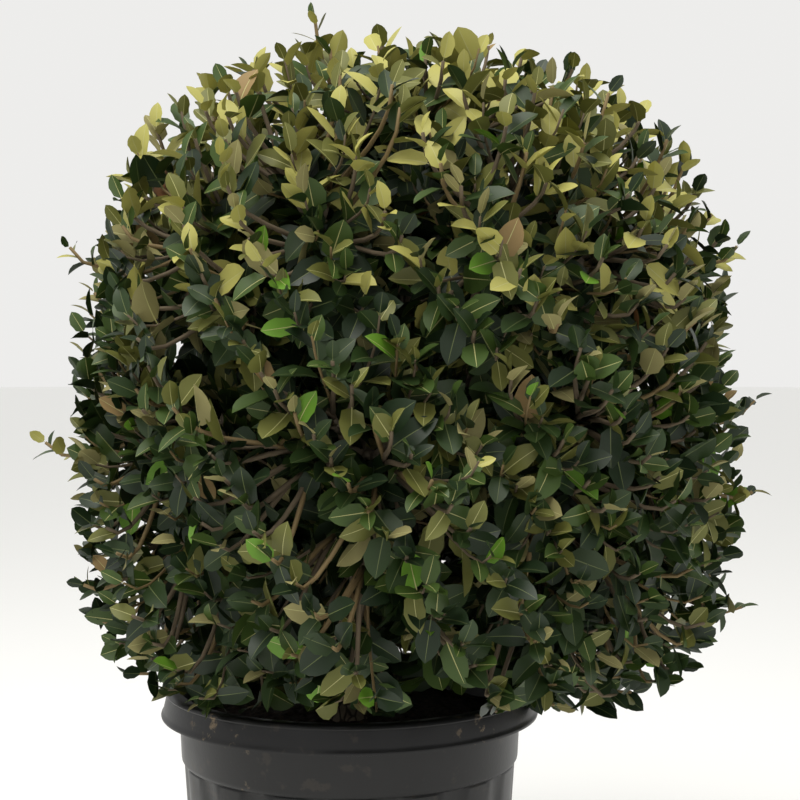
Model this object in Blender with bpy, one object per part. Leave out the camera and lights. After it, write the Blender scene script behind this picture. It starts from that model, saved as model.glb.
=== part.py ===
"""A holm oak clipped to a ball, standing in a black nursery pot.

Metres, +Z up, with the origin at the centre of the pot's underside.
The pot, its soil, the trunk, each bough and each mass of foliage is an object of its own.
Every mass keeps to the cone of space round its own direction from the crown's centre.
"""

import math
import random

import bmesh
import bpy
from mathutils import Matrix, Vector
from mathutils.bvhtree import BVHTree

UP = Vector((0, 0, 1))
CLEARANCE = 0.0003
GOLDEN_TURN = math.pi * (3 - math.sqrt(5))

# Pot: outer sizes, from the rim down
POT_HEIGHT = 0.335
RIM_TOP_RADIUS = 0.1945
RIM_RADIUS = 0.2015
RIM_BAND = 0.029
COLLAR_TOP_RADIUS = 0.1843
COLLAR_RADIUS = 0.1811
STEP_HEIGHT = 0.263
BODY_RADIUS = 0.1758
BASE_RADIUS = 0.1590
WALL = 0.003
RIM_ROUND = 0.003
STEP_DROP = 0.008
BASE_ROUND = 0.004
POT_SEGMENTS = 48
FLUTES = 16
FLUTE_RISE = 0.0022
DRAIN_HOLES = 8
DRAIN_SIZE = (0.030, 0.026, 0.012)

# Soil and trunk
SOIL_TOP = 0.300
SOIL_RISE = 0.004
SOIL_GAP = 0.0004
TRUNK_FOOT_RADIUS = 0.033
TRUNK_RADIUS = 0.021
TRUNK_TIP_RADIUS = 0.0135
TRUNK_FLARE_HEIGHT = 0.035
TRUNK_HEIGHT = 0.165
TRUNK_LEAN = 0.036
TRUNK_SIDES = 12
TRUNK_RINGS = 7

# Crown: the clipped surface is a rounded barrel, domed above and flatter below
CROWN_CENTRE = Vector((0.0615, 0.0, 0.643))
CROWN_HALF_WIDTH = 0.355
CROWN_RISE = 0.383
CROWN_DROP = 0.335
DOME_POWER = 2.6
SKIRT_POWER = 5.0
LOWEST_LEAF = 0.293
FRONT_LIFT = 0.23
POT_MARGIN = 0.004

# Masses: each starts this far out from the crown's centre and keeps this gap to its neighbours
HOLLOW_DEPTH = 0.165
SPACE_GAP = 0.00018

# Core of a mass: its part of a smaller crown, with a tuft on every face
CORE_SHARE = 0.79
CORE_LEVEL = 0.175
CORE_DETAIL = 3
CORE_HOLLOWS = 0.05
CORE_TUFTS = (0.04, 0.17)
CORE_TUFT_LEAN = 0.55

# Boughs: name, elevation of their masses, turn of the ring, how steeply they leave the trunk,
# and the height on the trunk of each
BOUGH_RINGS = (
    ("upper", 36.0, 18.0, 0.9, (0.108, 0.130, 0.114, 0.134, 0.120)),
    ("lower", -14.0, 0.0, 0.5, (0.040, 0.070, 0.050, 0.080, 0.058, 0.088, 0.066)),
)
BOUGH_TIP_RADIUS = 0.0052
BOUGH_ROOT_RADIUS = 0.0085
BOUGH_SIDES = 7
BOUGH_RINGS_ALONG = 6

# Twigs and leaves
TIP_COUNT = 110
TIP_SHARE = 0.90
TIP_MARGIN = 0.024
FORK_SHARE = 0.20
FORK_STEPS = 1
FORK_SUNK = 0.004
PIPE_POWER = 0.42
TWIG_RADIUS = 0.0022
TWIG_SIDES = 3
STEM_SIDES = 6
LEAVES_ON_TWIG = 4
LEAFY_LENGTH = 0.046
LEAF_SUNK = 0.004
LEAF_LENGTH = 0.066
LEAF_WIDTH = 0.038
LEAF_THICKNESS = 0.0016
LEAF_WIDEST = -0.12
LEAF_CUP = 1.6
LEAF_TILT = (34.0, 72.0)
LEAF_TRIES = 14
SEED = 11

# Shoots that stand out past the clipped surface, as offsets of their tips from the crown's centre
STRAY_SHOOTS = (
    (-0.096, -0.050, 0.398),
    (-0.385, -0.020, -0.045),
    (-0.350, -0.060, 0.160),
    (0.368, -0.030, 0.000),
    (0.362, -0.050, -0.095),
    (0.338, -0.080, 0.160),
    (0.350, -0.060, -0.215),
    (0.208, -0.170, -0.284),
    (-0.336, -0.070, -0.190),
    (0.105, 0.330, 0.190),
    (-0.150, 0.350, -0.080),
    (0.090, 0.060, 0.388),
    (0.210, 0.310, -0.170),
    (0.060, -0.368, -0.040),
)
STRAY_LEAF_SHARE = 0.62
SURFACE_REACH = 0.006
STRAY_REACH = 0.022


def clear_scene():
    for old in list(bpy.data.objects):
        bpy.data.objects.remove(old)


def material(name, colour, roughness):
    made = bpy.data.materials.new(name)
    made.use_nodes = True
    shader = made.node_tree.nodes["Principled BSDF"]
    shader.inputs["Base Color"].default_value = (*colour, 1.0)
    shader.inputs["Roughness"].default_value = roughness
    shader.inputs["Metallic"].default_value = 0.0
    return made


def object_from(bm, name, finish, collection=None):
    """Make an object of a finished bmesh, and free the bmesh."""
    bmesh.ops.recalc_face_normals(bm, faces=bm.faces)
    mesh = bpy.data.meshes.new(name)
    bm.to_mesh(mesh)
    bm.free()
    mesh.materials.append(finish)
    made = bpy.data.objects.new(name, mesh)
    (collection or bpy.context.scene.collection).objects.link(made)
    return made


def shade_round(made, sharp_above=math.radians(35)):
    made.data.shade_smooth()
    made.data.set_sharp_from_angle(angle=sharp_above)


def spun(profile, segments):
    """Turn a profile of radius and height pairs, from axis to axis, round the Z axis."""
    bm = bmesh.new()
    verts = [bm.verts.new((radius, 0, height)) for radius, height in profile]
    edges = [bm.edges.new(pair) for pair in zip(verts, verts[1:])]
    bmesh.ops.spin(
        bm, geom=verts + edges, cent=(0, 0, 0), axis=(0, 0, 1),
        angle=2 * math.pi, steps=segments, use_merge=True,
    )
    bmesh.ops.remove_doubles(bm, verts=bm.verts, dist=1e-5)
    return bm


def pot_profile():
    """The pot's section: up the outside, over the turned-down rim and down the inside."""
    lip = POT_HEIGHT - RIM_BAND
    inner_base = BASE_RADIUS - WALL
    return (
        (0, 0),
        (BASE_RADIUS - BASE_ROUND / 2, 0),
        (BASE_RADIUS, BASE_ROUND),
        (BODY_RADIUS, STEP_HEIGHT - STEP_DROP),
        (COLLAR_RADIUS, STEP_HEIGHT),
        (COLLAR_TOP_RADIUS, POT_HEIGHT - 2 * WALL),
        (RIM_TOP_RADIUS - WALL / 2, POT_HEIGHT - 2 * WALL),
        (RIM_RADIUS - WALL, lip + WALL / 3),
        (RIM_RADIUS - WALL / 3, lip),
        (RIM_RADIUS, lip + WALL),
        (RIM_TOP_RADIUS + RIM_ROUND / 2, POT_HEIGHT - RIM_ROUND),
        (RIM_TOP_RADIUS - RIM_ROUND / 2, POT_HEIGHT),
        (COLLAR_TOP_RADIUS, POT_HEIGHT),
        (COLLAR_TOP_RADIUS - WALL, POT_HEIGHT - RIM_ROUND),
        (COLLAR_RADIUS - WALL, STEP_HEIGHT),
        (BODY_RADIUS - WALL, STEP_HEIGHT - STEP_DROP),
        (inner_base, WALL),
        (0, WALL),
    )


def raise_flutes(bm):
    """Raise the shallow upright flutes on the outside of the pot's body, below its step."""
    fluted = ((BASE_RADIUS, BASE_ROUND), (BODY_RADIUS, STEP_HEIGHT - STEP_DROP))
    segments_per_flute = POT_SEGMENTS // FLUTES
    for vert in bm.verts:
        radius = math.hypot(vert.co.x, vert.co.y)
        on_body = any(math.hypot(radius - r, vert.co.z - z) < 1e-4 for r, z in fluted)
        turn = round(math.atan2(vert.co.y, vert.co.x) / (2 * math.pi) * POT_SEGMENTS)
        if on_body and turn % segments_per_flute < segments_per_flute / 2:
            vert.co.x *= 1 + FLUTE_RISE / radius
            vert.co.y *= 1 + FLUTE_RISE / radius


def build_pot(finish):
    bm = spun(pot_profile(), POT_SEGMENTS)
    raise_flutes(bm)
    pot = object_from(bm, "pot", finish)
    for k in range(DRAIN_HOLES):
        turn = 2 * math.pi * (k + 0.5) / DRAIN_HOLES
        bm = bmesh.new()
        place = Matrix.Rotation(turn, 4, "Z") @ Matrix.Translation((BASE_RADIUS, 0, 0))
        bmesh.ops.create_cube(bm, size=1.0, matrix=place @ Matrix.Diagonal((*DRAIN_SIZE, 1)))
        cutter = object_from(bm, f"drain_cutter_{k + 1}", finish)
        cutter.hide_render = True
        cutter.display_type = "WIRE"
        cut = pot.modifiers.new(f"drain_{k + 1}", "BOOLEAN")
        cut.operation = "DIFFERENCE"
        cut.object = cutter
    shade_round(pot)
    return pot


def build_soil(finish):
    """The potting soil and root ball, which fill the pot to just under its rim."""
    inner = SOIL_GAP + WALL
    slope = (COLLAR_TOP_RADIUS - COLLAR_RADIUS) / (POT_HEIGHT - STEP_HEIGHT)
    edge = COLLAR_RADIUS - inner + slope * (SOIL_TOP - STEP_HEIGHT)
    profile = (
        (0, WALL + SOIL_GAP),
        (BASE_RADIUS - inner, WALL + SOIL_GAP),
        (BODY_RADIUS - inner, STEP_HEIGHT - STEP_DROP),
        (COLLAR_RADIUS - inner, STEP_HEIGHT),
        (edge, SOIL_TOP),
        (edge * 0.6, SOIL_TOP + SOIL_RISE * 0.6),
        (TRUNK_FOOT_RADIUS * 1.6, SOIL_TOP + SOIL_RISE),
        (0, SOIL_TOP + SOIL_RISE),
    )
    soil = object_from(spun(profile, POT_SEGMENTS // 2), "potting_soil", finish)
    shade_round(soil)
    return soil


def add_limb(bm, points, radii, sides, foot_heading=None, tip_heading=None):
    """Add a closed tapering limb with a ring of vertices round each of its points.

    Its ends are cut square to foot_heading and tip_heading where they are given.
    """
    rings = []
    last = len(points) - 1
    heading = UP
    turn = Matrix.Identity(3).to_quaternion()
    for i, (point, radius) in enumerate(zip(points, radii)):
        ahead = (points[min(i + 1, last)] - points[max(i - 1, 0)]).normalized()
        if i == 0 and foot_heading:
            ahead = foot_heading
        if i == last and tip_heading:
            ahead = tip_heading
        turn = heading.rotation_difference(ahead) @ turn
        heading = ahead
        place = Matrix.Translation(point) @ turn.to_matrix().to_4x4()
        ring = bmesh.ops.create_circle(bm, segments=sides, radius=radius, matrix=place)
        rings.append(ring["verts"])
    for near, far in zip(rings, rings[1:]):
        for k in range(sides):
            after = (k + 1) % sides
            bm.faces.new((near[k], near[after], far[after], far[k]))
    bm.faces.new(rings[0])
    bm.faces.new(rings[-1])


def bend(start, heading, end, steps, arrival=None):
    """Points along a curve that leaves start along heading and reaches end, along arrival if given."""
    length = (end - start).length
    leaving = start + heading * (length * 0.28)
    arriving = end - arrival * (length * 0.34) if arrival else leaving.lerp(end, 0.33)
    curve = []
    for i in range(steps + 1):
        t = i / steps
        near = start * (1 - t) ** 3 + leaving * (3 * t * (1 - t) ** 2)
        curve.append(near + arriving * (3 * t**2 * (1 - t)) + end * t**3)
    return curve


def trunk_axis(height):
    """The point on the trunk's leaning axis at a height above the soil."""
    share = height / TRUNK_HEIGHT
    ground = SOIL_TOP + SOIL_RISE + CLEARANCE
    return Vector((TRUNK_LEAN * share**1.5, 0, ground + height))


def trunk_radius(height):
    taper = TRUNK_RADIUS + (TRUNK_TIP_RADIUS - TRUNK_RADIUS) * height / TRUNK_HEIGHT
    flare = max(0.0, 1 - height / TRUNK_FLARE_HEIGHT) ** 2
    return taper + (TRUNK_FOOT_RADIUS - TRUNK_RADIUS) * flare


def build_trunk(finish, name="trunk", extra=0.0):
    """The short stem from the flat cut at the soil to the fork. Extra fattens it all round."""
    heights = [TRUNK_HEIGHT * (i / TRUNK_RINGS) ** 1.3 for i in range(TRUNK_RINGS + 1)]
    points = [trunk_axis(height) for height in heights]
    points[0] = points[0] - UP * extra
    points[-1] = points[-1] + UP * extra
    radii = [trunk_radius(height) + extra for height in heights]
    bm = bmesh.new()
    add_limb(bm, points, radii, TRUNK_SIDES, UP, UP)
    trunk = object_from(bm, name, finish)
    shade_round(trunk)
    return trunk


def direction(elevation, azimuth):
    e, a = math.radians(elevation), math.radians(azimuth)
    return Vector((math.cos(e) * math.cos(a), math.cos(e) * math.sin(a), math.sin(e)))


def mass_plan():
    """Each bough's name, its mass's direction from the crown's centre, its height on the trunk
    and the slope at which it leaves it."""
    plan = [("top", UP.copy(), TRUNK_HEIGHT, 0.0)]
    for ring, elevation, phase, slope, heights in BOUGH_RINGS:
        for k, height in enumerate(heights):
            outward = direction(elevation, phase + 360 * k / len(heights))
            plan.append((f"{ring}_{k + 1}", outward, height, slope))
    return plan


def reach(outward):
    """Distance from the crown's centre to the clipped surface along a direction."""
    level = math.hypot(outward.x, outward.y) / outward.length / CROWN_HALF_WIDTH
    above = outward.z > 0
    power = DOME_POWER if above else SKIRT_POWER
    rise = abs(outward.z) / outward.length / (CROWN_RISE if above else CROWN_DROP)
    return (level**power + rise**power) ** (-1 / power)


def build_bough(name, outward, height, slope, trunk_clearance, finish):
    """One tapering bough from the trunk to the foot of its mass, and the point where it ends."""
    tip = CROWN_CENTRE + outward * HOLLOW_DEPTH
    start = trunk_axis(height)
    level = (tip - start).to_2d().to_3d().normalized()
    heading = (level + UP * slope).normalized()
    if height == TRUNK_HEIGHT:
        start += UP * CLEARANCE
        heading = UP
    curve = bend(start, heading, tip, BOUGH_RINGS_ALONG, outward)
    taper = BOUGH_TIP_RADIUS - BOUGH_ROOT_RADIUS
    radii = [BOUGH_ROOT_RADIUS + taper * i / BOUGH_RINGS_ALONG for i in range(len(curve))]
    bm = bmesh.new()
    add_limb(bm, curve, radii, BOUGH_SIDES, heading, outward)
    bough = object_from(bm, f"bough_{name}", finish)
    if height < TRUNK_HEIGHT:
        cut = bough.modifiers.new("seat_on_trunk", "BOOLEAN")
        cut.operation = "DIFFERENCE"
        cut.object = trunk_clearance
    shade_round(bough)
    return tip


def lowest_at(point):
    """How low foliage may hang at a point: clear of the pot, and higher in front of it."""
    lowest = LOWEST_LEAF + FRONT_LIFT * max(0.0, -point.y)
    over_pot = math.hypot(point.x, point.y) < RIM_RADIUS + POT_MARGIN
    return max(lowest, POT_HEIGHT + POT_MARGIN) if over_pot else lowest


class Space:
    """The cone of space that one mass keeps to."""

    def __init__(self, outward, others):
        self.outward = outward
        self.walls = [(outward - other).normalized() for other in others]

    def room(self, point):
        """How far inside its walls a point lies. It is negative outside."""
        offset = point - CROWN_CENTRE
        from_walls = min(offset.dot(wall) for wall in self.walls)
        return min(from_walls, offset.dot(self.outward) - HOLLOW_DEPTH)

    def holds(self, point, past_surface=0.0):
        offset = point - CROWN_CENTRE
        if self.room(point) < SPACE_GAP or point.z < lowest_at(point):
            return False
        return offset.length < reach(offset) + past_surface


def even_directions(count):
    """Directions spread evenly over a ball."""
    for k in range(count):
        rise = 1 - (2 * k + 1) / count
        level = math.sqrt(1 - rise * rise)
        yield Vector((level * math.cos(GOLDEN_TURN * k), level * math.sin(GOLDEN_TURN * k), rise))


def tips_in(space):
    """The twig tips of one mass: its share of the even directions, moved in from its walls."""
    tips = []
    for outward in even_directions(TIP_COUNT):
        if any(outward.dot(wall) < 0 for wall in space.walls):
            continue
        for _ in range(40):
            tip = CROWN_CENTRE + outward * reach(outward) * TIP_SHARE
            if space.room(tip) > TIP_MARGIN:
                break
            outward = (outward + space.outward * 0.03).normalized()
        if space.holds(tip):
            tips.append(tip)
    return tips


def halves(tips):
    """Two groups of tips, parted half way along the line between the two that lie furthest apart."""
    pairs = ((a - b, a, b) for a in tips for b in tips)
    apart = max(pairs, key=lambda pair: pair[0].length)[0]
    ordered = sorted(tips, key=lambda tip: tip.dot(apart))
    middle = len(ordered) // 2
    return ordered[:middle], ordered[middle:]


def grow(twigs, start, heading, tips):
    """Run a twig towards the tips that it serves, and fork it until each has its own."""
    thickness = TWIG_RADIUS * len(tips) ** PIPE_POWER
    if len(tips) == 1:
        twigs.append((bend(start, heading, tips[0], 2), thickness, True))
        return
    middle = sum(tips, Vector()) / len(tips)
    fork = start.lerp(middle, FORK_SHARE)
    curve = bend(start, heading, fork, FORK_STEPS)
    twigs.append((curve, thickness, False))
    ahead = (curve[-1] - curve[-2]).normalized()
    for group in halves(tips):
        grow(twigs, fork - ahead * FORK_SUNK, ahead, group)


def point_back_from_tip(curve, distance):
    """The point that lies a distance back from a curve's end, and the heading there."""
    for near, far in zip(reversed(curve[:-1]), reversed(curve[1:])):
        length = (far - near).length
        if distance <= length:
            return far.lerp(near, distance / length), (far - near).normalized()
        distance -= length
    return curve[0], (curve[1] - curve[0]).normalized()


def leaf_mesh(root, along, face, length):
    """One pointed leaf of eight faces, cupped along its midrib, with its root at a point."""
    size = Vector((length, length * LEAF_WIDTH / LEAF_LENGTH, LEAF_THICKNESS)) / 2
    basis = Matrix((along, face.cross(along), face)).transposed().to_4x4()
    bm = bmesh.new()
    bmesh.ops.create_uvsphere(bm, u_segments=4, v_segments=2, radius=1.0)
    for vert in bm.verts:
        if abs(vert.co.y) > 0.5:
            vert.co += Vector((LEAF_WIDEST, 0, LEAF_CUP))
    place = Matrix.Translation(root + along * size.x) @ basis @ Matrix.Diagonal((*size, 1))
    bmesh.ops.transform(bm, matrix=place, verts=bm.verts)
    return bm


def leaves_of(curve, stray, space, in_the_way, rng):
    """The leaves of one twig, in a spiral back from its end. One that meets anything is skipped."""
    tip = curve[-1] - CROWN_CENTRE
    past = max(0.0, tip.length - reach(tip)) + (STRAY_REACH if stray else SURFACE_REACH)
    turn = rng.uniform(0, 2 * math.pi)
    for k in range(LEAVES_ON_TWIG):
        root, heading = point_back_from_tip(curve, LEAF_SUNK + LEAFY_LENGTH * k / LEAVES_ON_TWIG)
        side = heading.orthogonal().normalized()
        for attempt in range(LEAF_TRIES):
            spin = turn + GOLDEN_TURN * k + attempt * GOLDEN_TURN / 2
            tilt = math.radians(rng.uniform(*LEAF_TILT)) * (0.4 if k == 0 else 1.0)
            around = Matrix.Rotation(spin, 3, heading) @ side
            along = (heading * math.cos(tilt) + around * math.sin(tilt)).normalized()
            face = (heading - along * heading.dot(along)).normalized()
            length = LEAF_LENGTH * rng.uniform(0.85, 1.1) * (STRAY_LEAF_SHARE if stray else 1.0)
            bm = leaf_mesh(root, along, face, length)
            tree = BVHTree.FromBMesh(bm)
            inside = all(space.holds(vert.co, past) for vert in bm.verts)
            if inside and not any(tree.overlap(other) for other in in_the_way):
                in_the_way.append(tree)
                yield bm
                break
            bm.free()


def core_mesh(space):
    """The dense inside of one mass: its cone's share of a smaller copy of the clipped crown."""
    rng = random.Random(SEED)
    bm = bmesh.new()
    bmesh.ops.create_icosphere(bm, subdivisions=CORE_DETAIL, radius=1.0)
    for vert in bm.verts:
        vert.co *= 1 - rng.uniform(0, CORE_HOLLOWS)
    tufts = bmesh.ops.poke(bm, faces=bm.faces)["verts"]
    for tuft in tufts:
        side = rng.choice(tuft.link_edges).other_vert(tuft)
        tuft.co = tuft.co.lerp(side.co, rng.uniform(0, CORE_TUFT_LEAN)) * (1 + rng.uniform(*CORE_TUFTS))
    for vert in bm.verts:
        vert.co = CROWN_CENTRE + vert.co * reach(vert.co) * CORE_SHARE
        vert.co.z = max(vert.co.z, lowest_at(vert.co) + POT_MARGIN)
    planes = [(CROWN_CENTRE + wall * SPACE_GAP, wall) for wall in space.walls]
    planes.append((CROWN_CENTRE + space.outward * CORE_LEVEL, space.outward))
    for through, inward in planes:
        everything = bm.verts[:] + bm.edges[:] + bm.faces[:]
        cut = bmesh.ops.bisect_plane(
            bm, geom=everything, plane_co=through, plane_no=inward, clear_inner=True, dist=1e-5
        )
        edges = [item for item in cut["geom_cut"] if isinstance(item, bmesh.types.BMEdge)]
        if edges:
            bmesh.ops.edgeloop_fill(bm, edges=edges)
    bmesh.ops.dissolve_limit(bm, angle_limit=math.radians(1), verts=bm.verts, edges=bm.edges)
    return bm


def main_body(mesh):
    """Keep the largest closed surface of a mesh, which drops loose scrap and fills hollows."""
    bm = bmesh.new()
    bm.from_mesh(mesh)
    unseen = set(bm.verts)
    bodies = []
    while unseen:
        body = [unseen.pop()]
        for vert in body:
            found = {edge.other_vert(vert) for edge in vert.link_edges} & unseen
            unseen -= found
            body.extend(found)
        bodies.append(body)
    for body in sorted(bodies, key=len)[:-1]:
        bmesh.ops.delete(bm, geom=body, context="VERTS")
    bm.to_mesh(mesh)
    bm.free()


def build_mass(name, space, start, strays, finish):
    """One mass of foliage: a core, and the twigs and leaves that stand out of it, fused."""
    rng = random.Random(f"{SEED} {name}")
    heading = space.outward
    pieces = bpy.data.collections.new(f"pieces_{name}")
    bpy.context.scene.collection.children.link(pieces)
    core = core_mesh(space)
    core_tree = BVHTree.FromBMesh(core)
    mass = object_from(core, f"foliage_{name}", finish)
    limbs = []
    grow(limbs, start + heading * CLEARANCE, heading, tips_in(space) + strays)
    twig_trees = []
    for number, (curve, thickness, leafy) in enumerate(limbs):
        stem = number == 0
        first = BOUGH_TIP_RADIUS if stem else thickness
        thin = TWIG_RADIUS * 0.7 if leafy else thickness * 0.85
        radii = [first + (thin - first) * i / (len(curve) - 1) for i in range(len(curve))]
        bm = bmesh.new()
        add_limb(bm, curve, radii, STEM_SIDES if stem else TWIG_SIDES, heading if stem else None)
        twig_trees.append(BVHTree.FromBMesh(bm))
        object_from(bm, f"twig_{number}", finish, pieces)
    leaf_trees = []
    for number, (curve, thickness, leafy) in enumerate(limbs):
        if not leafy:
            continue
        stray = any((curve[-1] - tip).length < 1e-6 for tip in strays)
        in_the_way = [core_tree] + twig_trees[:number] + twig_trees[number + 1:] + leaf_trees
        known = len(in_the_way)
        for k, bm in enumerate(leaves_of(curve, stray, space, in_the_way, rng)):
            object_from(bm, f"leaf_{number}_{k}", finish, pieces)
        leaf_trees += in_the_way[known:]
    union = mass.modifiers.new("fuse", "BOOLEAN")
    union.operation = "UNION"
    union.operand_type = "COLLECTION"
    union.collection = pieces
    union.solver = "MANIFOLD"
    graph = bpy.context.evaluated_depsgraph_get()
    fused = bpy.data.meshes.new_from_object(mass.evaluated_get(graph))
    mass.modifiers.clear()
    mass.data = fused
    main_body(fused)
    for piece in list(pieces.objects):
        bpy.data.objects.remove(piece)
    bpy.data.collections.remove(pieces)
    return mass


def main():
    clear_scene()
    plastic = material("pot_plastic", (0.018, 0.019, 0.019), 0.42)
    earth = material("earth", (0.030, 0.021, 0.014), 0.95)
    bark = material("bark", (0.145, 0.115, 0.088), 0.85)
    leaf = material("leaf", (0.052, 0.082, 0.030), 0.50)
    build_pot(plastic)
    build_soil(earth)
    build_trunk(bark)
    trunk_clearance = build_trunk(bark, "trunk_clearance", CLEARANCE)
    trunk_clearance.hide_render = True
    trunk_clearance.display_type = "WIRE"
    plan = mass_plan()
    ways = [outward for _, outward, _, _ in plan]
    spaces = [Space(outward, [other for other in ways if other != outward]) for outward in ways]
    strays = {name: [] for name, _, _, _ in plan}
    for offset in map(Vector, STRAY_SHOOTS):
        nearest = max(range(len(plan)), key=lambda k: offset.dot(ways[k]))
        strays[plan[nearest][0]].append(CROWN_CENTRE + offset)
    for (name, outward, height, slope), space in zip(plan, spaces):
        tip = build_bough(name, outward, height, slope, trunk_clearance, bark)
        build_mass(name, space, tip, strays[name], leaf)


main()
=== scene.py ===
"""Looks of a holm oak clipped to a ball, standing in a black nursery pot.

Metres, +Z up, with the origin at the centre of the pot's underside.
The twigs and leaves of each mass of foliage grow by the same rule as its solid, only finer.
"""

import math
import random

import bmesh
import bpy
import numpy as np
from bpy.props import FloatProperty, FloatVectorProperty, IntProperty, PointerProperty
from bpy.types import Operator, Panel, PropertyGroup
from mathutils import Matrix, Vector, noise


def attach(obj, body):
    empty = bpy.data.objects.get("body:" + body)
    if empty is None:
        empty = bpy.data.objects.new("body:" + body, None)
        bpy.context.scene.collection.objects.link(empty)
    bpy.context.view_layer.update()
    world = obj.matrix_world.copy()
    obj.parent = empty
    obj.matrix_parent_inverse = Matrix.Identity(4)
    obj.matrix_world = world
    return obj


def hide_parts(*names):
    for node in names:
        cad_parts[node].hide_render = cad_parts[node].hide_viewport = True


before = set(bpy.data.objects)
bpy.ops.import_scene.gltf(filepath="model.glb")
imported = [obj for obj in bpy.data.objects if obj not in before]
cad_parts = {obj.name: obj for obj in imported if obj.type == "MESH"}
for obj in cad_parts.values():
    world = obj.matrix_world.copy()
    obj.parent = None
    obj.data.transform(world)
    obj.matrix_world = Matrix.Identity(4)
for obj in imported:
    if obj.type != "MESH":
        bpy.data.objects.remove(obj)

bl_info = {
    "name": "Clipped holm oak",
    "version": (1, 0, 0),
    "blender": (4, 5, 0),
    "location": "3D View > Sidebar > Holm Oak",
    "description": "Builds a clipped holm oak in its nursery pot",
    "category": "Object",
}

UP = Vector((0, 0, 1))
GOLDEN_TURN = math.pi * (3 - math.sqrt(5))

# Finish that all materials share, and the angles above which an edge is sharp
SPECULAR = 0.34
PLASTIC_SHARP_ABOVE = 35
ROUGH_SHARP_ABOVE = 60

# Camera, key light and floor
CAMERA_X = 0.054
CAMERA_HEIGHT = 0.707
CAMERA_PITCH = -2.05
LENS = 75.33
SENSOR_WIDTH = 36.0
KEY_PLACE = (-0.5, -1.0, 3.0)
KEY_TARGET = (0.05, 0, 0.7)
KEY_SIZE = 2.2
KEY_COLOUR = (1.0, 0.98, 0.94)
SKY_COLOUR = (1.0, 0.995, 0.98)
FLOOR_RADIUS = 24.0
FLOOR_SIDES = 96

# Pot, as in the solids
POT_HEIGHT = 0.335
RIM_TOP_RADIUS = 0.1945
RIM_RADIUS = 0.2015
RIM_BAND = 0.029
COLLAR_TOP_RADIUS = 0.1843
COLLAR_RADIUS = 0.1811
STEP_HEIGHT = 0.263
BODY_RADIUS = 0.1758
BASE_RADIUS = 0.1590
WALL = 0.003
STEP_DROP = 0.008
BASE_ROUND = 0.004
FLUTES = 16
FLUTE_RISE = 0.0022
FLUTE_GROOVE = (0.8, 2.6)
POT_STEPS = 192
DRAIN_HOLES = 8
DRAIN_SIZE = (0.030, 0.026, 0.012)

# Points of the pot's section: shares of the way up its body, then those of its rim. Each of
# these is a step out from the radius there, the share of the bead added to it, and a height,
# above the rim's lower edge for the lip and below the pot's top for the crest
BODY_SHARES = (0.08, 0.25, 0.5, 0.75, 0.92, 1.0)
LIP_POINTS = (
    (0.0, 0.7, 0.0006),
    (0.0, 1.0, 0.0020),
    (0.0, 0.6, 0.0036),
    (-0.0006, 0.0, 0.0050),
    (-0.0014, 0.0, 0.0080),
)
CREST_POINTS = (
    (0.0024, 0.0, 0.0072),
    (0.0018, 0.0, 0.0054),
    (0.0020, 0.6, 0.0038),
    (0.0014, 0.4, 0.0016),
    (0.0, 0.0, 0.0002),
    (-0.003, 0.0, 0.0),
)

# Dried mud on the pot: the middle of each patch, and its radius
MUD_PATCHES = (
    ((-0.13, -0.155, 0.318), 0.07),
    ((-0.112, -0.16, 0.262), 0.035),
    ((0.135, -0.15, 0.318), 0.05),
    ((0.02, 0.19, 0.31), 0.06),
    ((0.19, 0.05, 0.29), 0.06),
)

# Soil and trunk
SOIL_TOP = 0.300
SOIL_RISE = 0.004
SOIL_GAP = 0.0002
SOIL_FOOT_GAP = 0.0004
SOIL_RINGS = 70
SOIL_STEPS = 168
SOIL_DOME = 1.6
CRUMB_SCALE = 95
MOUND_SCALE = 16
MOUND_SHARE = 0.7
TRUNK_FOOT_RADIUS = 0.033
TRUNK_RADIUS = 0.021
TRUNK_TIP_RADIUS = 0.0135
TRUNK_FLARE_HEIGHT = 0.035
TRUNK_HEIGHT = 0.165
TRUNK_LEAN = 0.036
TRUNK_SUNK = 0.006
TRUNK_RINGS = 72
TRUNK_SIDES = 40

# Bark relief: how fine its lumps and furrows are, how high the lumps, how sharp the furrows
LUMP_SCALE = 34
LUMP_SHARE = 1.3
FURROW_SCALE = 150
FURROW_LENGTH_SCALE = 42
FURROW_SHARPNESS = 5.5

# Crown
CROWN_CENTRE = Vector((0.0615, 0.0, 0.643))
CROWN_HALF_WIDTH = 0.355
CROWN_RISE = 0.383
CROWN_DROP = 0.335
DOME_POWER = 2.6
SKIRT_POWER = 4.2
LOWEST_LEAF = 0.293
FRONT_LIFT = 0.27
POT_MARGIN = 0.004
HOLLOW_DEPTH = 0.165
INNER_HOLLOW = 0.125

# Boughs: name, elevation of their masses, turn of the ring, slope, and heights on the trunk
BOUGH_RINGS = (
    ("upper", 36.0, 18.0, 0.9, (0.108, 0.130, 0.114, 0.134, 0.120)),
    ("lower", -14.0, 0.0, 0.5, (0.040, 0.070, 0.050, 0.080, 0.058, 0.088, 0.066)),
)
BOUGH_TIP_RADIUS = 0.0052
BOUGH_ROOT_RADIUS = 0.0085
BOUGH_SIDES = 16
BOUGH_STEPS = 44
BOUGH_SUNK = 0.004
BOUGH_RELIEF_SHARE = 0.6
COLLAR_SWELL = 0.45
COLLAR_STEPS = 9

# Bend of boughs and twigs: how far they hold their first heading, and their last
LEAVING_SHARE = 0.28
ARRIVING_SHARE = 0.34
FREE_SHARE = 0.33

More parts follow.
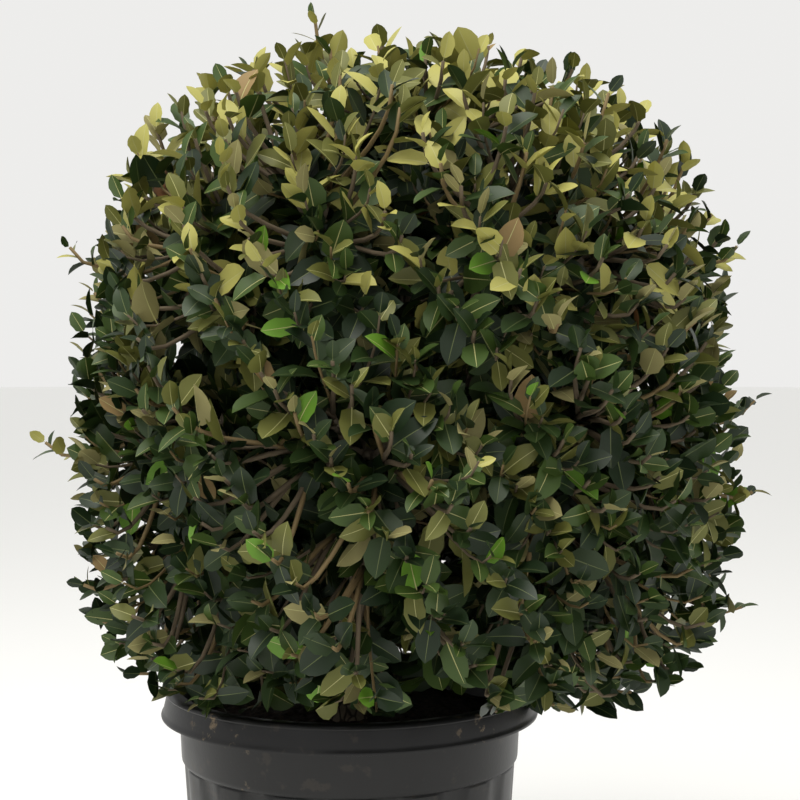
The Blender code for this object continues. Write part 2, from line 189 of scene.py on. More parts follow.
# Twigs
SEED = 11
TIP_SHARES = (0.965, 0.60, 0.94, 0.82, 0.70, 0.97, 0.50, 0.91, 0.55, 0.88, 0.64)
TIP_JITTER = 0.015
TIP_MARGIN = 0.002
TIP_NUDGE = 0.03
TIP_TRIES = 40
FORK_SHARE = 0.24
LATE_FORK_SHARE = 0.10
LATE_FORK_TIPS = 10
FORK_SUNK = 0.001
FORK_STEPS = 3
SHOOT_STEPS = 6
FAN_CENTRE = Vector((0.05, 0.0, 0.36))
FAN_RISE = 0.6
PIPE_POWER = 0.36
PIPE_TAPER = 0.75
TWIG_RADIUS = 0.0019
SHOOT_TAPER = 0.6
TWIG_RELIEF = 0.0003
STOUT_TIPS = 4
OLD_TIPS = 2
STOUT_SIDES = 7
THIN_SIDES = 5

# Leaders: the stout outer shoots that bear half the leaves, and so show between them
LEADER_SHARE = 0.3
LEADER_REACH = 0.9
LEADER_SCATTER = 900
LEADER_SWELL = 1.6
LEADER_TAPER = 0.95

# Leaf: stations along it, half width and tooth at each, and its midrib
LEAF_STATIONS = (0.0, 0.12, 0.27, 0.44, 0.60, 0.76, 0.90, 1.0)
LEAF_OUTLINE = (0.03, 0.26, 0.82, 1.0, 1.0, 0.86, 0.52, 0.0)
LEAF_TOOTH = (0.0, 0.0, 0.05, -0.05, 0.06, -0.04, 0.05, 0.0)
TOOTH_LEAN = 0.35
STALK_END = 0.2
STALK_HALF_WIDTH = 0.1
RIB_SHARE = 0.055
RIB_TAPER = 0.75
RIB_MARGIN = 1.05

# How leaves stand on a twig
LEAFY_LENGTH = 0.105
LEAFY_POWER = 1.1
LEAF_TRIES = 5
LEAF_TILT = (28, 78)
LEAF_TILT_SHARES = (0.35, 0.75, 0.75)
LEAF_AGES = (0.62, 0.72, 0.82, 0.92)
LEAF_LIFT = (-0.12, 0.22)
LEAF_FACE_AHEAD = 0.8
LEAF_FACE_UP = 0.45
LEAF_FACE_SCATTER = 0.28
LEAF_LENGTHS = (0.74, 1.16)
LEAF_WIDTHS = (0.86, 1.14)
LEAF_FOLD = (0.10, 0.55)
LEAF_CURL = (-0.10, 0.42)
SURFACE_REACH = 0.008
STRAY_REACH = 0.022
STRAY_LEAF_SHARE = 0.72

# What a leaf's finish goes by: how deep in the crown the darkest kind is dealt out as painted
# shade, and the heights over which leaves darken downwards as painted shade and lighten upwards,
# partly for young growth and partly as painted light
SHADE_DEPTH_SHARE = 0.80
SHADE_AND_GROWTH_FOOT = 0.32
SHADE_AND_GROWTH_HEIGHT = 0.70
YOUNG_AND_LIT_ABOVE = 0.55
YOUNG_ORDERS = 5

# Shoots that stand out past the clipped surface, as offsets of their tips from the crown's centre
STRAY_SHOOTS = (
    (-0.096, -0.050, 0.398),
    (-0.385, -0.020, -0.045),
    (-0.350, -0.060, 0.160),
    (0.368, -0.030, 0.000),
    (0.362, -0.050, -0.095),
    (0.338, -0.080, 0.160),
    (0.350, -0.060, -0.215),
    (0.208, -0.170, -0.284),
    (-0.336, -0.070, -0.190),
    (0.105, 0.330, 0.190),
    (-0.150, 0.350, -0.080),
    (0.090, 0.060, 0.388),
    (0.210, 0.310, -0.170),
    (0.060, -0.368, -0.040),
)


def linear(red, green, blue):
    """A colour given from 0 to 255 as a screen shows it, as the shader's own values."""
    shares = (level / 255 for level in (red, green, blue))
    return tuple(s / 12.92 if s <= 0.04045 else ((s + 0.055) / 1.055) ** 2.4 for s in shares)


# Leaf finishes: name, colour, roughness, and whether their midrib is pale
LEAF_KINDS = (
    # The first kind is painted shade: the darkest green, with a dark midrib, dealt out to leaves
    # deep inside the crown and low down
    ("leaf_painted_shade", linear(24, 40, 18), 0.44, False),
    ("leaf_dark", linear(36, 54, 21), 0.46, False),
    ("leaf_mid", linear(56, 76, 28), 0.48, True),
    ("leaf_olive", linear(98, 100, 46), 0.52, True),
    ("leaf_underside", linear(136, 130, 84), 0.74, True),
    ("leaf_young", linear(162, 158, 84), 0.52, True),
    ("leaf_fresh", linear(90, 130, 36), 0.48, True),
    ("leaf_scorched", linear(132, 110, 70), 0.68, True),
    ("leaf_dead", linear(112, 74, 40), 0.74, False),
)
RIB_KINDS = (("rib_dark", linear(92, 102, 62), 0.5), ("rib_pale", linear(170, 168, 112), 0.5))
TWIG_KINDS = (
    ("twig_grey", linear(138, 126, 108), 0.82),
    ("twig_brown", linear(98, 86, 68), 0.8),
    ("twig_young", linear(120, 102, 68), 0.68),
)


class StageLooks(PropertyGroup):
    """Floor, lights and camera."""

    floor_colour: FloatVectorProperty(
        name="Floor colour", description="Colour of the plain floor",
        subtype="COLOR", size=3, min=0, max=1, default=linear(246, 246, 244),
    )
    sky_strength: FloatProperty(
        name="Sky strength", description="Brightness of the even light all round",
        min=0, default=0.85,
    )
    key_power: FloatProperty(
        name="Key power", description="Power of the large soft light overhead",
        min=0, unit="POWER", default=70.0,
    )
    camera_distance: FloatProperty(
        name="Camera distance", description="How far in front of the pot the camera stands",
        unit="LENGTH", min=0.5, default=1.8,
    )


class PotLooks(PropertyGroup):
    """Nursery pot."""

    colour: FloatVectorProperty(
        name="Pot colour", description="Colour of the moulded plastic",
        subtype="COLOR", size=3, min=0, max=1, default=linear(11, 11, 12),
    )
    mud_colour: FloatVectorProperty(
        name="Mud colour", description="Colour of the dried splashes on the rim",
        subtype="COLOR", size=3, min=0, max=1, default=linear(120, 106, 88),
    )
    bead: FloatProperty(
        name="Bead", description="How far the two beads stand out from the rim",
        unit="LENGTH", min=0, max=0.003, default=0.0012,
    )


class SoilLooks(PropertyGroup):
    """Potting soil."""

    colour: FloatVectorProperty(
        name="Soil colour", description="Colour of the damp potting soil",
        subtype="COLOR", size=3, min=0, max=1, default=linear(44, 35, 28),
    )
    relief: FloatProperty(
        name="Relief", description="Height of the crumbs on the soil",
        unit="LENGTH", min=0, max=0.01, default=0.0035,
    )


class BarkLooks(PropertyGroup):
    """Trunk and boughs."""

    colour: FloatVectorProperty(
        name="Bark colour", description="Colour of the bark's plates",
        subtype="COLOR", size=3, min=0, max=1, default=linear(128, 117, 100),
    )
    crack_colour: FloatVectorProperty(
        name="Crack colour", description="Colour between the bark's plates",
        subtype="COLOR", size=3, min=0, max=1, default=linear(52, 44, 36),
    )
    relief: FloatProperty(
        name="Relief", description="Depth of the bark's furrows",
        unit="LENGTH", min=0, max=0.004, default=0.0011,
    )


class LeafLooks(PropertyGroup):
    """Twigs and leaves."""

    twigs: IntProperty(
        name="Twigs", description="Leafy twigs in the whole crown", min=100, max=4000,
        default=1850,
    )
    leaves: IntProperty(
        name="Leaves", description="Leaves on each twig", min=3, max=20, default=11,
    )
    length: FloatProperty(
        name="Leaf length", description="Length of a full-grown leaf",
        unit="LENGTH", min=0.01, max=0.09, default=0.043,
    )
    width: FloatProperty(
        name="Leaf width", description="Width of a full-grown leaf",
        unit="LENGTH", min=0.005, max=0.06, default=0.0232,
    )


def new_material(name, colour, roughness):
    made = bpy.data.materials.new(name)
    made.use_nodes = True
    shader = made.node_tree.nodes["Principled BSDF"]
    shader.inputs["Base Color"].default_value = (*colour, 1.0)
    shader.inputs["Roughness"].default_value = roughness
    shader.inputs["Specular IOR Level"].default_value = SPECULAR
    made.diffuse_color = (*colour, 1.0)
    return made


def scaled(colour, factor, lift=0.0):
    """A colour made lighter or darker by a factor."""
    return tuple(min(1.0, level * factor + lift) for level in colour)


class Nodes:
    """Adds linked nodes to one material."""

    def __init__(self, material):
        self.tree = material.node_tree
        self.shader = self.tree.nodes["Principled BSDF"]
        self.place = self.tree.nodes.new("ShaderNodeTexCoord").outputs["Object"]

    def link(self, source, target):
        self.tree.links.new(source, target)

    def drive(self, socket, source):
        """Let a node's output set one of the shader's sockets."""
        self.link(source, self.shader.inputs[socket])

    def noise(self, scale, detail, roughness=0.55):
        node = self.tree.nodes.new("ShaderNodeTexNoise")
        node.inputs["Scale"].default_value = scale
        node.inputs["Detail"].default_value = detail
        node.inputs["Roughness"].default_value = roughness
        self.link(self.place, node.inputs["Vector"])
        return node.outputs["Fac"]

    def plates(self, scale, stretch):
        """Distance to the edges of irregular plates that are drawn out along Z."""
        mapping = self.tree.nodes.new("ShaderNodeMapping")
        mapping.inputs["Scale"].default_value = (1.0, 1.0, stretch)
        self.link(self.place, mapping.inputs["Vector"])
        node = self.tree.nodes.new("ShaderNodeTexVoronoi")
        node.feature = "DISTANCE_TO_EDGE"
        node.inputs["Scale"].default_value = scale
        self.link(mapping.outputs["Vector"], node.inputs["Vector"])
        return node.outputs["Distance"]

    def ramp(self, source, low, high, to_low=0.0, to_high=1.0):
        node = self.tree.nodes.new("ShaderNodeMapRange")
        node.interpolation_type = "SMOOTHSTEP"
        names = ("From Min", "From Max", "To Min", "To Max")
        for name, value in zip(names, (low, high, to_low, to_high)):
            node.inputs[name].default_value = value
        self.link(source, node.inputs["Value"])
        return node.outputs["Result"]

    def math(self, operation, first, second):
        node = self.tree.nodes.new("ShaderNodeMath")
        node.operation = operation
        for socket, value in zip(node.inputs, (first, second)):
            if isinstance(value, (int, float)):
                socket.default_value = value
            else:
                self.link(value, socket)
        return node.outputs["Value"]

    def mix(self, factor, low, high):
        """Colours, each a tuple or another node's output, mixed by a factor."""
        node = self.tree.nodes.new("ShaderNodeMix")
        node.data_type = "RGBA"
        self.link(factor, node.inputs["Factor"])
        for name, colour in (("A", low), ("B", high)):
            socket = [s for s in node.inputs if s.name == name and s.type == "RGBA"][0]
            if isinstance(colour, tuple):
                socket.default_value = (*colour, 1.0)
            else:
                self.link(colour, socket)
        return [s for s in node.outputs if s.type == "RGBA"][0]

    def near(self, point, radius):
        """A mask that falls from 1 at a point to 0 at a radius."""
        node = self.tree.nodes.new("ShaderNodeVectorMath")
        node.operation = "DISTANCE"
        self.link(self.place, node.inputs[0])
        node.inputs[1].default_value = point
        return self.ramp(node.outputs["Value"], 0.0, radius, 1.0, 0.0)

    def bump(self, height, strength, distance):
        node = self.tree.nodes.new("ShaderNodeBump")
        node.inputs["Strength"].default_value = strength
        node.inputs["Distance"].default_value = distance
        self.link(height, node.inputs["Height"])
        self.drive("Normal", node.outputs["Normal"])


def mesh_of(bm, name):
    """Make a mesh of a finished bmesh, and free the bmesh."""
    mesh = bpy.data.meshes.new(name)
    bm.to_mesh(mesh)
    bm.free()
    return mesh


def shown(name, data):
    made = bpy.data.objects.new(name, data)
    bpy.context.scene.collection.objects.link(made)
    return made


def piece_from(mesh, name, materials):
    """Make a smooth piece of a mesh, which rides on the plant's body."""
    for material in materials:
        mesh.materials.append(material)
    made = shown(name, mesh)
    mesh.shade_smooth()
    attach(made, "root")
    return made


def solid_piece(bm, name, material, sharp_above):
    """Make a piece of a closed bmesh, with edges sharp above an angle in degrees."""
    bmesh.ops.recalc_face_normals(bm, faces=bm.faces)
    made = piece_from(mesh_of(bm, name), name, [material])
    made.data.set_sharp_from_angle(angle=math.radians(sharp_above))
    return made


def spun(profile, steps):
    """Turn a profile of radius and height pairs, from axis to axis, round the Z axis."""
    bm = bmesh.new()
    verts = [bm.verts.new((radius, 0, height)) for radius, height in profile]
    edges = [bm.edges.new(pair) for pair in zip(verts, verts[1:])]
    bmesh.ops.spin(
        bm, geom=verts + edges, cent=(0, 0, 0), axis=(0, 0, 1),
        angle=2 * math.pi, steps=steps, use_merge=True,
    )
    bmesh.ops.remove_doubles(bm, verts=bm.verts, dist=1e-5)
    return bm


def pot_profile(bead):
    """The pot's section: up the outside, over the turned-down rim and down the inside."""
    lip = POT_HEIGHT - RIM_BAND
    top = STEP_HEIGHT - STEP_DROP
    points = [
        (0, 0),
        (BASE_RADIUS - 0.004, 0),
        (BASE_RADIUS - 0.0015, 0.001),
        (BASE_RADIUS, BASE_ROUND),
    ]
    for share in BODY_SHARES:
        points.append((
            BASE_RADIUS + (BODY_RADIUS - BASE_RADIUS) * share,
            BASE_ROUND + (top - BASE_ROUND) * share,
        ))
    points += [
        (BODY_RADIUS + 0.0012, top + 0.0016),
        (COLLAR_RADIUS - 0.0016, STEP_HEIGHT - 0.0042),
        (COLLAR_RADIUS - 0.0004, STEP_HEIGHT - 0.0022),
        (COLLAR_RADIUS, STEP_HEIGHT),
        (COLLAR_TOP_RADIUS, POT_HEIGHT - 2 * WALL),
        (RIM_TOP_RADIUS - WALL / 2, POT_HEIGHT - 2 * WALL),
        (RIM_RADIUS - WALL, lip + WALL / 3),
        (RIM_RADIUS - WALL / 2, lip),
    ]
    for out, share, rise in LIP_POINTS:
        points.append((RIM_RADIUS + out + bead * share, lip + rise))
    for out, share, drop in CREST_POINTS:
        points.append((RIM_TOP_RADIUS + out + bead * share, POT_HEIGHT - drop))
    points += [
        (COLLAR_TOP_RADIUS, POT_HEIGHT),
        (COLLAR_TOP_RADIUS - 0.002, POT_HEIGHT - 0.0009),
        (COLLAR_TOP_RADIUS - WALL, POT_HEIGHT - 0.003),
        (COLLAR_RADIUS - WALL, STEP_HEIGHT),
        (BODY_RADIUS - WALL, top),
        (BASE_RADIUS - WALL, WALL),
        (0, WALL),
    ]
    return points


def raise_flutes(bm):
    """Raise the shallow upright flutes on the outside of the body, below its step."""
    flute = POT_STEPS / FLUTES
    top = STEP_HEIGHT - STEP_DROP
    near, far = FLUTE_GROOVE
    for vert in bm.verts:
        radius = math.hypot(vert.co.x, vert.co.y)
        share = (vert.co.z - BASE_ROUND) / (top - BASE_ROUND)
        wall = BASE_RADIUS + (BODY_RADIUS - BASE_RADIUS) * share
        if not -0.001 < share < 1.001 or abs(radius - wall) > 1e-4:
            continue
        turn = math.atan2(vert.co.y, vert.co.x) / (2 * math.pi) * POT_STEPS
        from_groove = abs((turn - flute * 2 / 3 + flute / 2) % flute - flute / 2)
        rise = FLUTE_RISE * min(1.0, max(0.0, (from_groove - near) / (far - near)))
        vert.co.x *= 1 + rise / radius
        vert.co.y *= 1 + rise / radius


def pot_plastic(looks):
    """Satin black plastic, a little mottled, with dried mud in patches."""
    material = new_material("pot_plastic", looks.colour, 0.4)
    nodes = Nodes(material)
    mottle = nodes.ramp(nodes.noise(9.0, detail=5.0, roughness=0.62), 0.35, 0.75)
    worn = nodes.mix(mottle, tuple(looks.colour), scaled(looks.colour, 1.5, 0.002))
    splash = nodes.noise(46.0, detail=6.0, roughness=0.6)
    specks = nodes.math("MULTIPLY", nodes.ramp(splash, 0.60, 0.68), 0.07)
    masks = [nodes.near(point, radius) for point, radius in MUD_PATCHES]
    near = masks[0]
    for mask in masks[1:]:
        near = nodes.math("MAXIMUM", near, mask)
    thicker = nodes.math("ADD", splash, nodes.math("MULTIPLY", near, 0.16))
    patches = nodes.math("MULTIPLY", nodes.ramp(thicker, 0.68, 0.76), near)
    mud = nodes.math("MAXIMUM", specks, patches)
    dull = nodes.math("ADD", mud, nodes.math("MULTIPLY", mottle, 0.25))
    relief = nodes.math("ADD", nodes.noise(260.0, detail=3.0), nodes.math("MULTIPLY", mud, 1.2))
    nodes.drive("Base Color", nodes.mix(mud, worn, tuple(looks.mud_colour)))
    nodes.drive("Roughness", nodes.ramp(dull, 0.0, 1.0, 0.36, 0.9))
    nodes.bump(relief, 0.12, 0.0008)
    return material


def apply_modifiers(made):
    graph = bpy.context.evaluated_depsgraph_get()
    mesh = bpy.data.meshes.new_from_object(made.evaluated_get(graph))
    made.modifiers.clear()
    made.data = mesh


def build_pot(looks):
    bm = spun(pot_profile(looks.bead), POT_STEPS)
    raise_flutes(bm)
    plastic = pot_plastic(looks)
    pot = solid_piece(bm, "nursery_pot", plastic, PLASTIC_SHARP_ABOVE)
    cutters = []
    for k in range(DRAIN_HOLES):
        turn = 2 * math.pi * (k + 0.5) / DRAIN_HOLES
        place = Matrix.Rotation(turn, 4, "Z") @ Matrix.Translation((BASE_RADIUS, 0, 0))
        bm = bmesh.new()
        bmesh.ops.create_cube(bm, size=1.0, matrix=place @ Matrix.Diagonal((*DRAIN_SIZE, 1)))
        cutter = shown("drain_cutter", mesh_of(bm, "drain_cutter"))
        cut = pot.modifiers.new("drain", "BOOLEAN")
        cut.operation = "DIFFERENCE"
        cut.object = cutter
        cutters.append(cutter)
    apply_modifiers(pot)
    pot.data.set_sharp_from_angle(angle=math.radians(PLASTIC_SHARP_ABOVE))
    for cutter in cutters:
        bpy.data.meshes.remove(cutter.data)
    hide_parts("pot")


def soil_height(x, y, relief):
    """How far the crumbs and mounds of the soil rise at a place."""
    place = Vector((x, y, 0))
    crumbs = noise.turbulence(place * CRUMB_SCALE, 4, False, noise_basis="PERLIN_ORIGINAL")
    mounds = noise.noise(place * MOUND_SCALE)
    return relief * (crumbs - 0.5 + mounds * MOUND_SHARE)


def soil_material(looks):
    material = new_material("potting_soil", looks.colour, 0.95)
    nodes = Nodes(material)
    grains = nodes.noise(170.0, detail=5.0, roughness=0.7)
    dark, light = scaled(looks.colour, 0.45), scaled(looks.colour, 2.6)
    nodes.drive("Base Color", nodes.mix(nodes.ramp(grains, 0.35, 0.72), dark, light))
    nodes.bump(grains, 0.6, 0.002)
    return material


def build_soil(looks):
    slope = (COLLAR_TOP_RADIUS - COLLAR_RADIUS) / (POT_HEIGHT - STEP_HEIGHT)
    inner = WALL + SOIL_GAP
    edge = COLLAR_RADIUS - inner + slope * (SOIL_TOP - STEP_HEIGHT)
    profile = [
        (0, WALL + SOIL_FOOT_GAP),
        (BASE_RADIUS - inner, WALL + SOIL_FOOT_GAP),
        (BODY_RADIUS - inner, STEP_HEIGHT - STEP_DROP),
        (COLLAR_RADIUS - inner, STEP_HEIGHT),
    ]
    for k in range(SOIL_RINGS + 1):
        radius = edge * (1 - k / SOIL_RINGS)
        dome = min(1.0, (1 - radius / edge) * SOIL_DOME)
        profile.append((radius, SOIL_TOP + SOIL_RISE * dome))
    bm = spun(profile, SOIL_STEPS)
    for vert in bm.verts:
        if vert.co.z > SOIL_TOP - 1e-4:
            vert.co.z += soil_height(vert.co.x, vert.co.y, looks.relief)
    soil = solid_piece(bm, "soil_crumbs", soil_material(looks), ROUGH_SHARP_ABOVE)
    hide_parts("potting_soil")


def bend(start, heading, end, steps, arrival=None):
    """Points along a curve that leaves start along heading and ends along arrival, if given."""
    length = (end - start).length
    leaving = start + heading * (length * LEAVING_SHARE)
    arriving = leaving.lerp(end, FREE_SHARE)
    if arrival:
        arriving = end - arrival * (length * ARRIVING_SHARE)
    curve = []
    for i in range(steps + 1):
        t = i / steps
        near = start * (1 - t) ** 3 + leaving * (3 * t * (1 - t) ** 2)
        curve.append(near + arriving * (3 * t**2 * (1 - t)) + end * t**3)
    return curve


def bark_rise(place, relief):
    """How far the bark's lumps and furrows rise at a place."""
    lump = noise.noise(place * LUMP_SCALE) * relief * LUMP_SHARE
    level = place.to_2d() * FURROW_SCALE
    across = noise.noise(Vector((*level, place.z * FURROW_LENGTH_SCALE)))
    return lump - relief * max(0.0, 1 - abs(across) * FURROW_SHARPNESS)


def add_limb(bm, points, radii, sides, relief=0.0, material=0):
    """Add a tapering limb with a ring of vertices round each of its points, and bark relief."""
    rings = []
    last = len(points) - 1
    heading = UP
    turn = Matrix.Identity(3).to_quaternion()
    for i, (point, radius) in enumerate(zip(points, radii)):
        ahead = (points[min(i + 1, last)] - points[max(i - 1, 0)]).normalized()
        turn = heading.rotation_difference(ahead) @ turn
        heading = ahead
        place = Matrix.Translation(point) @ turn.to_matrix().to_4x4()
        ring = bmesh.ops.create_circle(bm, segments=sides, radius=radius, matrix=place)["verts"]
        if relief:
            for vert in ring:
                vert.co += (vert.co - point).normalized() * bark_rise(vert.co, relief)
        rings.append(ring)
    for near, far in zip(rings, rings[1:]):
        for k in range(sides):
            after = (k + 1) % sides
            bm.faces.new((near[k], near[after], far[after], far[k])).material_index = material
    bm.faces.new(rings[0]).material_index = material
    bm.faces.new(rings[-1]).material_index = material


def trunk_axis(height):
    """The point on the trunk's leaning axis at a height above the soil."""
    share = max(0.0, height / TRUNK_HEIGHT)
    return Vector((TRUNK_LEAN * share**1.5, 0, SOIL_TOP + SOIL_RISE + height))


def trunk_radius(height):
    taper = TRUNK_RADIUS + (TRUNK_TIP_RADIUS - TRUNK_RADIUS) * height / TRUNK_HEIGHT
    flare = max(0.0, 1 - height / TRUNK_FLARE_HEIGHT) ** 2
    return taper + (TRUNK_FOOT_RADIUS - TRUNK_RADIUS) * flare


def direction(elevation, azimuth):
    e, a = math.radians(elevation), math.radians(azimuth)
    return Vector((math.cos(e) * math.cos(a), math.cos(e) * math.sin(a), math.sin(e)))


def mass_plan():
    """Each bough's name, its mass's direction, its height on the trunk and its slope there."""
    plan = [("top", UP.copy(), TRUNK_HEIGHT, 0.0)]
    for ring, elevation, phase, slope, heights in BOUGH_RINGS:
        for k, height in enumerate(heights):
            outward = direction(elevation, phase + 360 * k / len(heights))
            plan.append((f"{ring}_{k + 1}", outward, height, slope))
    return plan


def bark_material(looks):
    """Grey-brown plates with dark cracks between them."""
    material = new_material("bark", looks.colour, 0.85)
    nodes = Nodes(material)
    plates = nodes.ramp(nodes.plates(120.0, stretch=0.32), 0.02, 0.16)
    tone = nodes.ramp(nodes.noise(30.0, detail=6.0, roughness=0.65), 0.35, 0.7)
    plate_colour = nodes.mix(tone, scaled(looks.colour, 0.62), scaled(looks.colour, 1.35))
    grain = nodes.noise(240.0, detail=4.0)
    nodes.drive("Base Color", nodes.mix(plates, tuple(looks.crack_colour), plate_colour))
    nodes.bump(nodes.math("ADD", nodes.math("MULTIPLY", plates, 0.7), grain), 0.55, 0.0012)
    return material


def build_trunk(looks, material):
    length = TRUNK_HEIGHT + 2 * TRUNK_SUNK
    heights = [-TRUNK_SUNK + length * i / TRUNK_RINGS for i in range(TRUNK_RINGS + 1)]
    points = [trunk_axis(height) for height in heights]
    radii = [trunk_radius(max(0.0, height)) for height in heights]
    bm = bmesh.new()
    add_limb(bm, points, radii, TRUNK_SIDES, looks.relief)
    bark = solid_piece(bm, "trunk_bark", material, ROUGH_SHARP_ABOVE)
    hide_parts("trunk")


def build_bough(name, outward, height, slope, looks, material):
    """One bough from the trunk, where it swells, to the foot of its mass."""
    tip = CROWN_CENTRE + outward * HOLLOW_DEPTH
    start = trunk_axis(height)
    level = (tip - start).to_2d().to_3d().normalized()
    heading = UP if name == "top" else (level + UP * slope).normalized()
    curve = bend(start, heading, tip + outward * BOUGH_SUNK, BOUGH_STEPS, outward)
    taper = BOUGH_TIP_RADIUS - BOUGH_ROOT_RADIUS
    radii = []
    for i in range(BOUGH_STEPS + 1):
        swell = 1 + COLLAR_SWELL * max(0.0, 1 - i / COLLAR_STEPS) ** 2
        radii.append((BOUGH_ROOT_RADIUS + taper * i / BOUGH_STEPS) * swell)
    bm = bmesh.new()
    add_limb(bm, curve, radii, BOUGH_SIDES, looks.relief * BOUGH_RELIEF_SHARE)
    bark = solid_piece(bm, f"bark_{name}", material, ROUGH_SHARP_ABOVE)
    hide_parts(f"bough_{name}")


def build_wood(looks):
    material = bark_material(looks)
    build_trunk(looks, material)
    for name, outward, height, slope in mass_plan():
        build_bough(name, outward, height, slope, looks, material)


def reach(outward):
    """Distance from the crown's centre to the clipped surface along a direction."""
    level = math.hypot(outward.x, outward.y) / outward.length / CROWN_HALF_WIDTH
    above = outward.z > 0
    power = DOME_POWER if above else SKIRT_POWER
    rise = abs(outward.z) / outward.length / (CROWN_RISE if above else CROWN_DROP)
    return (level**power + rise**power) ** (-1 / power)


def lowest_at(point):
    """How low foliage may hang at a point: clear of the pot, and higher in front of it."""
    lowest = LOWEST_LEAF + FRONT_LIFT * max(0.0, -point.y)
    over_pot = math.hypot(point.x, point.y) < RIM_RADIUS + POT_MARGIN
    return max(lowest, POT_HEIGHT + POT_MARGIN) if over_pot else lowest


def in_reach(point, past_surface):
    """Whether a point lies above the lowest leaf and within the clipped surface."""
    offset = point - CROWN_CENTRE
    return point.z > lowest_at(point) and offset.length < reach(offset) + past_surface


class Space:
    """The cone of space that one mass keeps to."""

    def __init__(self, outward, others):
        self.outward = outward
        self.walls = [(outward - other).normalized() for other in others]

    def room(self, point):
        """How far inside its walls a point lies. It is negative outside."""
        offset = point - CROWN_CENTRE
        from_walls = min(offset.dot(wall) for wall in self.walls)
        return min(from_walls, offset.dot(self.outward) - INNER_HOLLOW)


def even_directions(count):
    """Directions spread evenly over a ball."""
    for k in range(count):
        rise = 1 - (2 * k + 1) / count
        level = math.sqrt(1 - rise * rise)
        yield Vector((level * math.cos(GOLDEN_TURN * k), level * math.sin(GOLDEN_TURN * k), rise))


def tips_in(space, count, rng):
    """The twig tips of one mass: its share of the even directions, at staggered depths."""
    tips = []
    for k, outward in enumerate(even_directions(count)):
        if any(outward.dot(wall) < 0 for wall in space.walls):
            continue
        share = TIP_SHARES[k % len(TIP_SHARES)] + rng.uniform(-TIP_JITTER, TIP_JITTER)
        for _ in range(TIP_TRIES):
            tip = CROWN_CENTRE + outward * reach(outward) * share
            if space.room(tip) > TIP_MARGIN:
                break
            outward = (outward + space.outward * TIP_NUDGE).normalized()
        if space.room(tip) > 0 and in_reach(tip, 0.0):
            tips.append(tip)
    return tips


def halves(tips):
    """Two groups of tips, parted half way along the line between two that lie far apart."""
    middle = sum(tips, Vector()) / len(tips)
    first = max(tips, key=lambda tip: (tip - middle).length)
    apart = max(tips, key=lambda tip: (tip - first).length) - first
    ordered = sorted(tips, key=lambda tip: tip.dot(apart))
    half = len(ordered) // 2
    return ordered[:half], ordered[half:]


def is_leader(tip):
    """Whether the shoot that ends at a tip is one of the stout ones with half the leaves."""
    offset = tip - CROWN_CENTRE
    outermost = offset.length > reach(offset) * LEADER_REACH
    return outermost and noise.cell(tip * LEADER_SCATTER) < LEADER_SHARE


def grow(limbs, start, heading, tips, thickest=BOUGH_TIP_RADIUS):
    """Run a twig towards the tips that it serves, and fork it until each has its own.

    A limb is its curve, its first and last radius, and the number of tips that it serves.
    """
    width = min(TWIG_RADIUS * len(tips) ** PIPE_POWER, thickest)
    if len(tips) == 1:
        tip = tips[0]
        fan = ((tip - FAN_CENTRE).normalized() + UP * FAN_RISE).normalized()
        swell, taper = (LEADER_SWELL, LEADER_TAPER) if is_leader(tip) else (1.0, SHOOT_TAPER)
        shoot = bend(start, heading, tip, SHOOT_STEPS, fan)
        limbs.append((shoot, width * swell, TWIG_RADIUS * taper, 1))
        return
    middle = sum(tips, Vector()) / len(tips)
    fork = start.lerp(middle, FORK_SHARE if len(tips) > LATE_FORK_TIPS else LATE_FORK_SHARE)
    curve = bend(start, heading, fork, FORK_STEPS)
    narrow = min(width, TWIG_RADIUS * (len(tips) * PIPE_TAPER) ** PIPE_POWER)
    limbs.append((curve, width, narrow, len(tips)))
    ahead = (curve[-1] - curve[-2]).normalized()
    for group in halves(tips):
        grow(limbs, fork - ahead * FORK_SUNK, ahead, group, narrow)


def leaf_template():
    """One flat leaf: its points along and across, its triangles, and which are midrib."""
    bm = bmesh.new()
    rows = len(LEAF_STATIONS) - 1
    bmesh.ops.create_grid(bm, x_segments=rows, y_segments=3, size=1.0)
    for vert in bm.verts:
        row = round((vert.co.x + 1) / 2 * rows)
        side = math.copysign(1.0, vert.co.y)
        edge = abs(vert.co.y) > 0.5
        width = LEAF_OUTLINE[row]
        tooth = LEAF_TOOTH[row] if edge else 0.0
        rib = RIB_SHARE * (1 - RIB_TAPER * LEAF_STATIONS[row])
        half = width * (1 + tooth) if edge else min(width, rib)
        vert.co = Vector((LEAF_STATIONS[row] - tooth * TOOTH_LEAN, side * half, 0))
    stalk = [
        face for face in bm.faces
        if max(vert.co.x for vert in face.verts) < STALK_END
        and max(abs(vert.co.y) for vert in face.verts) > STALK_HALF_WIDTH
    ]
    bmesh.ops.delete(bm, geom=stalk, context="FACES")
    bmesh.ops.remove_doubles(bm, verts=bm.verts, dist=1e-4)
    bmesh.ops.triangulate(bm, faces=bm.faces)
    bmesh.ops.recalc_face_normals(bm, faces=bm.faces)
    if sum(face.normal.z for face in bm.faces) < 0:
        bmesh.ops.reverse_faces(bm, faces=bm.faces)
    points = np.array([vert.co[:] for vert in bm.verts])
    bm.verts.index_update()
    triangles = np.array([[vert.index for vert in face.verts] for face in bm.faces])
    ribs = np.abs(points[triangles, 1]).max(axis=1) < RIB_SHARE * RIB_MARGIN
    bm.free()
    return points, triangles, ribs


def point_back_from_tip(curve, distance):
    """The point that lies a distance back from a curve's end, and the heading there."""
    for near, far in zip(reversed(curve[:-1]), reversed(curve[1:])):
        length = (far - near).length
        if distance <= length:
            return far.lerp(near, distance / length), (far - near).normalized()
        distance -= length
    return curve[0], (curve[1] - curve[0]).normalized()


